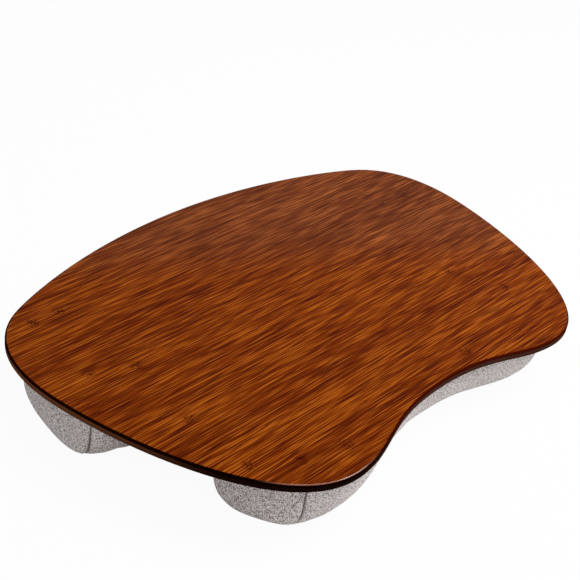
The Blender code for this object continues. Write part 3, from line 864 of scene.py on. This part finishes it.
def held_vertices(cushion, mesh):
    """The vertices that the board and the two seams hold: the cover's flat top and its seams."""
    form = bmesh.new()
    form.from_mesh(mesh)
    panel = form.faces.layers.int["panel"]
    held = {vert.index for vert in form.verts if vert.co.z > cushion.top - SAME_PLACE}
    for edge in form.edges:
        if on_seam(edge, panel):
            held.update(vert.index for vert in edge.verts)
    form.free()
    return sorted(held)


def seam_samples(edges):
    """Points along the seams, close together."""
    samples = []
    for edge in edges:
        first, second = (vert.co for vert in edge.verts)
        samples.extend(first.lerp(second, step / SEAM_SAMPLES) for step in range(SEAM_SAMPLES))
    return samples


def sew(mesh):
    """Press the seams in, pucker the cloth beside them, and store each vertex's distance from them."""
    form = bmesh.new()
    form.from_mesh(mesh)
    panel = form.faces.layers.int["panel"]
    seams = [edge for edge in form.edges if on_seam(edge, panel)]
    samples = seam_samples(seams)
    tree = KDTree(len(samples))
    for index, sample in enumerate(samples):
        tree.insert(sample, index)
    tree.balance()
    bmesh.ops.bevel(
        form, geom=seams, offset=SEAM_HALF_WIDTH, segments=SEAM_SEGMENTS, profile=1.0, affect="EDGES"
    )
    form.normal_update()
    gaps = [tree.find(vert.co)[2] for vert in form.verts]
    moves = []
    for vert, gap in zip(form.verts, gaps):
        groove = SEAM_DEPTH * max(0.0, 1 - gap / SEAM_HALF_WIDTH)
        fade = max(0.0, 1 - gap / PUCKER_REACH) ** 2 if gap > SEAM_HALF_WIDTH / 2 else 0.0
        ripple = noise.noise(vert.co / PUCKER_LENGTH)
        moves.append(-vert.normal * (groove + fade * ripple * PUCKER_DEPTH))
    for vert, move in zip(form.verts, moves):
        vert.co += move
        vert.co.z = max(vert.co.z, SOLE_HEIGHT)
    form.to_mesh(mesh)
    form.free()
    mesh.attributes.remove(mesh.attributes["panel"])
    mesh.attributes.new("seam", "FLOAT", "POINT").data.foreach_set("value", gaps)


def add_cushion(cushion, material):
    """The cushion's cover, in the place of its CAD cover panels and foam."""
    mesh = cushion_mesh(cushion, SLACK_START)
    mesh.materials.append(material)
    piece = bpy.data.objects.new(mesh.name, mesh)
    bpy.context.scene.collection.objects.link(piece)
    swell(piece, held_vertices(cushion, mesh))
    sew(mesh)
    piece.modifiers.new("Smooth cloth", "SUBSURF").render_levels = 1
    attach(
        piece,
        "cushion_cloth",
        cushion.name + "_cover_wrap",
        cushion.name + "_cover_left_end",
        cushion.name + "_cover_right_end",
        cushion.name + "_foam",
    )


def add_mount_panel(cushion, material):
    """The mounting panel under the board, drawn in at its edge so that the cover hides it."""
    node = cushion.name + "_mount_panel"
    low, high = heights(node)
    stations = cushion_stations(cushion) * PANEL_LONG
    front = [cushion_point(cushion, u, -PANEL_DEEP, 0, 0).xy for u in stations]
    back = [cushion_point(cushion, u, PANEL_DEEP, 0, 0).xy for u in reversed(stations)]
    line = evenly_spaced(numpy.array(front + back), OUTLINE_POINTS)
    rows = [(PANEL_ROUND, high), (0, high - PANEL_ROUND), (0, low + PANEL_ROUND), (PANEL_ROUND, low)]
    piece = ply_piece(cushion.name + "_hardboard", line, rows, (material, material), (0, 0))
    attach(piece, "hardboard", node)


def repaint(material, *words):
    """Give CAD nodes whose names hold one of the words a better material."""
    for name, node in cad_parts.items():
        if any(word in name for word in words):
            node.data.materials.clear()
            node.data.materials.append(material)


def light_path_white(tree, strength):
    """How white a surface looks: the strength for the camera, gloss and glass, and 0 for other light."""
    path = tree.nodes.new("ShaderNodeLightPath")
    seen = path.outputs["Is Camera Ray"]
    for name in ("Is Glossy Ray", "Is Transmission Ray"):
        joined = tree.nodes.new("ShaderNodeMath")
        joined.operation = "MAXIMUM"
        tree.links.new(seen, joined.inputs[0])
        tree.links.new(path.outputs[name], joined.inputs[1])
        seen = joined.outputs[0]
    scaled = tree.nodes.new("ShaderNodeMath")
    scaled.operation = "MULTIPLY"
    scaled.inputs[1].default_value = strength
    tree.links.new(seen, scaled.inputs[0])
    return scaled.outputs[0]


def make_world():
    """Even soft light, which looks white to the camera."""
    world = bpy.data.worlds.new("Studio")
    world.use_nodes = True
    tree = world.node_tree
    dim = tree.nodes["Background"]
    dim.inputs["Strength"].default_value = AMBIENT
    dim.inputs["Color"].default_value = (1, 1, 1, 1)
    white = tree.nodes.new("ShaderNodeBackground")
    white.inputs["Color"].default_value = (1, 1, 1, 1)
    mixed = tree.nodes.new("ShaderNodeMixShader")
    tree.links.new(light_path_white(tree, 1.0), mixed.inputs[0])
    tree.links.new(dim.outputs[0], mixed.inputs[1])
    tree.links.new(white.outputs[0], mixed.inputs[2])
    tree.links.new(mixed.outputs[0], tree.nodes["World Output"].inputs["Surface"])
    bpy.context.scene.world = world


def make_floor():
    """A pale matt floor that keeps the object's shadow."""
    mesh = bpy.data.meshes.new("floor")
    half = FLOOR_SIZE / 2
    corners = [(-half, -half, 0), (half, -half, 0), (half, half, 0), (-half, half, 0)]
    mesh.from_pydata(corners, [], [(0, 1, 2, 3)])
    material = bpy.data.materials.new("pale_floor")
    material.use_nodes = True
    tree = material.node_tree
    tree.nodes.remove(tree.nodes["Principled BSDF"])
    matt = tree.nodes.new("ShaderNodeBsdfDiffuse")
    matt.inputs["Color"].default_value = (FLOOR_GREY, FLOOR_GREY, FLOOR_GREY, 1)
    white = tree.nodes.new("ShaderNodeEmission")
    mixed = tree.nodes.new("ShaderNodeMixShader")
    tree.links.new(light_path_white(tree, FLOOR_WHITE), mixed.inputs[0])
    tree.links.new(matt.outputs[0], mixed.inputs[1])
    tree.links.new(white.outputs[0], mixed.inputs[2])
    tree.links.new(mixed.outputs[0], tree.nodes["Material Output"].inputs["Surface"])
    mesh.materials.append(material)
    floor = bpy.data.objects.new("floor", mesh)
    bpy.context.scene.collection.objects.link(floor)


def make_lamp(name, direction, along, size, power):
    """A soft box in the given direction from the desk, its first side along the given line."""
    lamp = bpy.data.lights.new(name, "AREA")
    lamp.shape = "RECTANGLE"
    lamp.size, lamp.size_y = size
    lamp.energy = power
    holder = bpy.data.objects.new(name, lamp)
    bpy.context.scene.collection.objects.link(holder)
    back = Vector(direction).normalized()
    up = back.cross(Vector(along)).normalized()
    turn = Matrix((up.cross(back), up, back)).transposed().to_4x4()
    turn.translation = back * LAMP_DISTANCE
    holder.matrix_world = turn


def make_camera():
    """The camera at the photograph's viewpoint."""
    lens = bpy.data.cameras.new("photo_view")
    lens.lens = CAMERA_LENS
    lens.sensor_width = CAMERA_SENSOR
    camera = bpy.data.objects.new("photo_view", lens)
    bpy.context.scene.collection.objects.link(camera)
    ahead = Vector(CAMERA_AHEAD).normalized()
    level = ahead.cross(Vector((0, 0, 1))).normalized()
    rise = level.cross(ahead)
    right = level * math.cos(CAMERA_ROLL) + rise * math.sin(CAMERA_ROLL)
    up = right.cross(ahead)
    turn = Matrix((right, up, -ahead)).transposed().to_4x4()
    turn.translation = Vector(CAMERA_PLACE)
    camera.matrix_world = turn
    bpy.context.scene.camera = camera


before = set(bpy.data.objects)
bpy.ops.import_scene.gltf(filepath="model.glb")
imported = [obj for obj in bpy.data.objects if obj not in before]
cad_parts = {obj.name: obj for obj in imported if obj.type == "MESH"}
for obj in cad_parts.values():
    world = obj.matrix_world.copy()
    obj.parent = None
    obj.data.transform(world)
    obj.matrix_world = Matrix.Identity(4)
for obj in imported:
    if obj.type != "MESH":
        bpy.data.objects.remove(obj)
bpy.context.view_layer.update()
outline = board_outline()

top_wood = bamboo("bamboo_top", TOP_NEAR_TONES, TOP_FAR_SHEEN_TONES, gloss=0.015, roughness=0.35)
under_wood = bamboo("bamboo_underside", UNDER_TONES, UNDER_TONES, gloss=0.1, roughness=0.4)
edge_dark = stained_edge("bamboo_edge_dark", *RIM_DARK_TONES)
edge_brown = stained_edge("bamboo_edge_brown", *RIM_BROWN_TONES)
make_face(outline, top_wood, edge_dark)
make_core(outline, edge_brown)
make_back(outline, under_wood, edge_brown)

cloth = linen("cushion_linen")
pressed_fibre = hardboard("pressed_fibre")
for cushion in (front_cushion(outline), back_cushion()):
    add_cushion(cushion, cloth)
    add_mount_panel(cushion, pressed_fibre)
repaint(zinc("zinc_plate"), "screw", "washer")

make_world()
make_floor()
make_lamp("key", KEY_DIRECTION, KEY_ALONG, KEY_SIZE, KEY_POWER)
make_lamp("strip", STRIP_DIRECTION, STRIP_ALONG, STRIP_SIZE, STRIP_POWER)
make_camera()
bpy.context.scene.view_settings.view_transform = "Standard"
